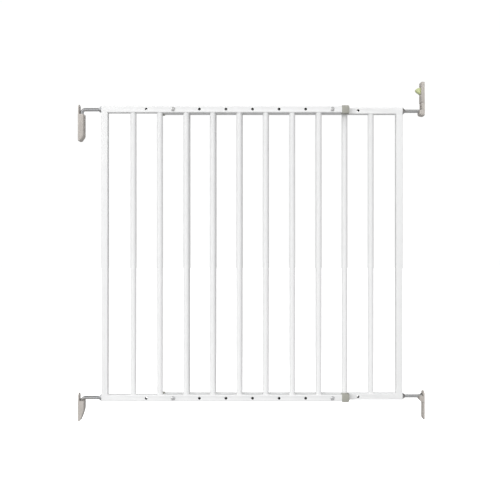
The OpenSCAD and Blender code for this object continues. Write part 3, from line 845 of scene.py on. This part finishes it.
def lock_cover():
    name, w = "lock_cover", BW / 2
    prof = [(-w, LOCK_FOOT), (w, LOCK_FOOT)] + arc(w - 4, LOCK_TOP - 4, 4, 0, 90, 8) + arc(-w + 4, LOCK_TOP - 4, 4, 90, 180, 8)
    ob = to_object(name + "_skin", prism(prof, 0.3, 8.4, "x", 1.3, 4, lambda e: not all(v.co.x < 0.5 for v in e.verts)))
    cuts = [block((0, -w + 1.9, LOCK_FOOT - 3), (LOCK_T + 0.1, w - 1.9, LOCK_TOP - 2.1)),
            block((LOCK_T - 0.2, -5.3, LOCK_FOOT - 3), (7.4, 5.3, LOCK_TOP - 1.4)),
            # window with a flared lip
            prism([(-3.4, 7.2), (-3.4, 7.9), (-3.65, 8.25), (-4.1, 8.42), (-4.1, 10), (4.1, 10), (4.1, 8.42), (3.65, 8.25), (3.4, 7.9), (3.4, 7.2)], LOCK_FOOT - 3, LOCK_TOP - 1.4, "z")]
    cuts[2].transform(Matrix(((0, 1, 0, 0), (1, 0, 0, 0), (0, 0, 1, 0), (0, 0, 0, 1))))
    bmesh.ops.recalc_face_normals(cuts[2], faces=cuts[2].faces)
    for m in (1, -1):
        cuts.append(block((LOCK_T - 0.2, min(6.7 * m, (w - 1.9) * m), LOCK_FOOT + 2), (6.8, max(6.7 * m, (w - 1.9) * m), LOCK_TOP - 5), 0.4, 2))
    combine(ob, cuts)
    clean(ob)
    place(ob, "latch_wall_fittings", [GREY], [name], RIGHT_WALL)


def thumb_slider():
    name = "thumb_slider"
    ob = to_object(name + "_skin", block((LOCK_T + 0.3, -5, S_BOT), (7.1, 5, S_TOP), 0.5, 2))
    nose = [(8.7, S_TOP - 15), (11, S_TOP - 14.6), (17.6, S_TOP - 9.8)] + arc(16.9, S_TOP - 5.2, 3.6, -45, 50, 10) + [(15.5, S_TOP), (8.7, S_TOP)]
    combine(ob, [block((6.6, -3.1, S_TOP - 15), (9.2, 3.1, S_TOP), 0.2, 1), prism(nose, -6.2, 6.2, "y", 1.1, 4)], "UNION")
    # grip grooves on the slanted underside, where the thumb pushes up
    cuts = [block((3, -1.9, Z_HI + 26), (6.3, 1.9, Z_HI + 50))]
    for k in range(4):
        t = (k + 0.7) / 4.4
        x, z = 11 + 6.6 * t, S_TOP - 14.6 + 4.8 * t
        cuts.append(lathe([(0, -4.6), (0.45, -4.6), (0.45, 4.6), (0, 4.6)], (x + 0.1, 0, z - 0.12), (0, 1, 0), 12))
    combine(ob, cuts)
    clean(ob)
    bm = bmesh.new()
    bm.from_mesh(ob.data)
    bmesh.ops.bisect_plane(bm, geom=bm.verts[:] + bm.edges[:] + bm.faces[:], dist=0.0001, plane_co=(0, 0, S_TOP - 16), plane_no=(0, 0, 1))
    bm.to_mesh(ob.data)
    bm.free()
    for f in ob.data.polygons:
        f.material_index = 1 if f.center.z < S_TOP - 16 else 0
    place(ob, "latch_slider", [GREEN, GREY], [name], RIGHT_WALL)


def lower_catch():
    name, w, pt = "lower_catch", BW / 2, 3.6
    z1 = Z_LO + 14
    prof = [(-w, 4), (-w + 4, 0), (w - 4, 0), (w, 4)] + arc(w - 9, z1 - 9, 9, 0, 90, 12) + arc(-w + 9, z1 - 9, 9, 90, 180, 12)
    ob = to_object(name + "_skin", prism(prof, 0, pt, "x", 1.0, 4, lambda e: all(v.co.x > pt - 0.1 for v in e.verts)))
    combine(ob, [cradle_block(Z_LO, w - 0.2, 12.5)], "UNION")
    combine(ob, cradle_cuts(Z_LO) + [screw_hole(Z_LO - 18.5, pt, 2.6, 1.8, 1.7), screw_hole(11, pt, 2.6, 1.8, 1.7)]
            + [prism([(pt + 0.1, -1), (pt + 0.1, 3), (2, -1)], -w - 1, w + 1, "y")])
    clean(ob)
    place(ob, "latch_wall_fittings", [GREY], [name], RIGHT_WALL)


def latch_spring():
    name, turns, per, n = "latch_spring", 10, 20, 8
    bm = bmesh.new()
    rings = []
    for i in range(turns * per + 1):
        a = 2 * math.pi * i / per
        f = i / (turns * per)
        ring = []
        for j in range(n):
            b = 2 * math.pi * j / n
            r = 1.05 + 0.22 * math.cos(b)
            ring.append(bm.verts.new((r * math.cos(a), r * math.sin(a), 0.4 + 19 * f + 0.22 * math.sin(b))))
        rings.append(ring)
    for A, B in zip(rings, rings[1:]):
        for k in range(n):
            bm.faces.new((A[k], B[k], B[(k + 1) % n], A[(k + 1) % n]))
    bm.faces.new(rings[0])
    bm.faces.new(list(reversed(rings[-1])))
    bmesh.ops.recalc_face_normals(bm, faces=bm.faces)
    bm.transform(Matrix.Translation((4.85, 0, Z_HI + 26)))
    ob = to_object(name + "_skin", bm)
    place(ob, "latch_wall_fittings", [SPRING], [name], RIGHT_WALL)
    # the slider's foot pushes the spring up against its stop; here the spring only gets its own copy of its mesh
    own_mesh(ob)


lock_base()
lock_cover()
thumb_slider()
lower_catch()
latch_spring()


# ---------------------------------------------------------------- stage
def floor():
    bm = bmesh.new()
    s = 30
    vs = [bm.verts.new(p) for p in ((-s, -s, 0), (s, -s, 0), (s, s, 0), (-s, s, 0))]
    bm.faces.new(vs)
    ob = to_object("floor", bm)
    ob.location.z = -0.42
    m = Nodes("floor_white")
    m.link(m.ramp(m.noise(3, 2), [(0.3, 0.50), (0.7, 0.52)]), m.bsdf.inputs["Base Color"])
    m.bsdf.inputs["Roughness"].default_value = 0.9
    m.bsdf.inputs["Specular IOR Level"].default_value = 0.1
    # lifts the floor to the white of the background where it is seen, without throwing more light up
    lp = m.t.nodes.new("ShaderNodeLightPath")
    em = m.t.nodes.new("ShaderNodeMath")
    em.operation = "MULTIPLY"
    em.inputs[1].default_value = 1.1
    m.link(lp.outputs["Is Camera Ray"], em.inputs[0])
    m.bsdf.inputs["Emission Color"].default_value = (1, 1, 1, 1)
    m.link(em.outputs[0], m.bsdf.inputs["Emission Strength"])
    ob.data.materials.append(m.mat)


floor()


def area(name, loc, target, size, power, shape="RECTANGLE", size_y=None):
    l = bpy.data.lights.new(name, "AREA")
    l.shape = shape
    l.size = size
    if size_y:
        l.size_y = size_y
    l.energy = power
    ob = bpy.data.objects.new(name, l)
    bpy.context.scene.collection.objects.link(ob)
    ob.location = loc
    ob.rotation_euler = (Vector(target) - Vector(loc)).to_track_quat("-Z", "Y").to_euler()
    return ob


key = area("key_left", (-2.6, -3.9, 1.7), (0, 0, 0.42), 2.0, 64, size_y=2.2)
key.visible_glossy = False
top = area("top", (0.1, -1.0, 2.9), (0, 0, 0.42), 2.0, 11, size_y=1.4)
top.visible_glossy = False
back = area("back", (0.0, 3.5, 1.5), (0, 0, 0.42), 2.2, 44, size_y=1.6)
back.visible_glossy = False

world = bpy.data.worlds.new("studio")
bpy.context.scene.world = world
world.use_nodes = True
wt = world.node_tree
wt.nodes.clear()
out = wt.nodes.new("ShaderNodeOutputWorld")
mixs = wt.nodes.new("ShaderNodeMixShader")
seen = wt.nodes.new("ShaderNodeBackground")
lit = wt.nodes.new("ShaderNodeBackground")
path = wt.nodes.new("ShaderNodeLightPath")
seen.inputs["Color"].default_value = (1, 1, 1, 1)
seen.inputs["Strength"].default_value = 1.02
lit.inputs["Color"].default_value = (0.985, 0.99, 1, 1)
# brighter from the front, as from a large soft box behind the camera; what the bright metal mirrors is darker still at the back
wc = wt.nodes.new("ShaderNodeTexCoord")
ws = wt.nodes.new("ShaderNodeSeparateXYZ")
wt.links.new(wc.outputs["Generated"], ws.inputs[0])


def falloff(vals):
    n = wt.nodes.new("ShaderNodeMapRange")
    n.interpolation_type = "SMOOTHSTEP"
    for k, v in zip(("From Min", "From Max", "To Min", "To Max"), vals):
        n.inputs[k].default_value = v
    wt.links.new(ws.outputs["Y"], n.inputs["Value"])
    return n.outputs["Result"]


wm = wt.nodes.new("ShaderNodeMix")
wm.data_type = "FLOAT"
wt.links.new(path.outputs["Is Glossy Ray"], wm.inputs[0])
wt.links.new(falloff((0.42, -0.85, 0.26, 1.18)), wm.inputs[2])
panel = wt.nodes.new("ShaderNodeMapRange")
panel.interpolation_type = "SMOOTHSTEP"
for k, v in (("From Min", -0.38), ("From Max", -0.8), ("To Min", 0.0), ("To Max", 1.1)):
    panel.inputs[k].default_value = v
wt.links.new(ws.outputs["X"], panel.inputs["Value"])
both = wt.nodes.new("ShaderNodeMath")
wt.links.new(falloff((0.15, -0.95, 0.08, 0.86)), both.inputs[0])
wt.links.new(panel.outputs["Result"], both.inputs[1])
wt.links.new(both.outputs[0], wm.inputs[3])
wt.links.new(wm.outputs[0], lit.inputs["Strength"])
wt.links.new(path.outputs["Is Camera Ray"], mixs.inputs[0])
wt.links.new(lit.outputs[0], mixs.inputs[1])
wt.links.new(seen.outputs[0], mixs.inputs[2])
wt.links.new(mixs.outputs[0], out.inputs["Surface"])

DIST = 1.650
cam_data = bpy.data.cameras.new("camera")
cam_data.sensor_width = 36
cam_data.lens = 36 * DIST / (500 * 0.002435)
cam_data.clip_start = 0.01
cam_data.clip_end = 100
cam = bpy.data.objects.new("camera", cam_data)
bpy.context.scene.collection.objects.link(cam)
cam.location = (-0.0054, -0.017 - DIST, 0.417)
cam.rotation_euler = (math.pi / 2, 0, 0)
bpy.context.scene.camera = cam
sc = bpy.context.scene
sc.view_settings.view_transform = "Standard"
sc.view_settings.look = "None"
sc.view_settings.exposure = 0
sc.view_settings.gamma = 1
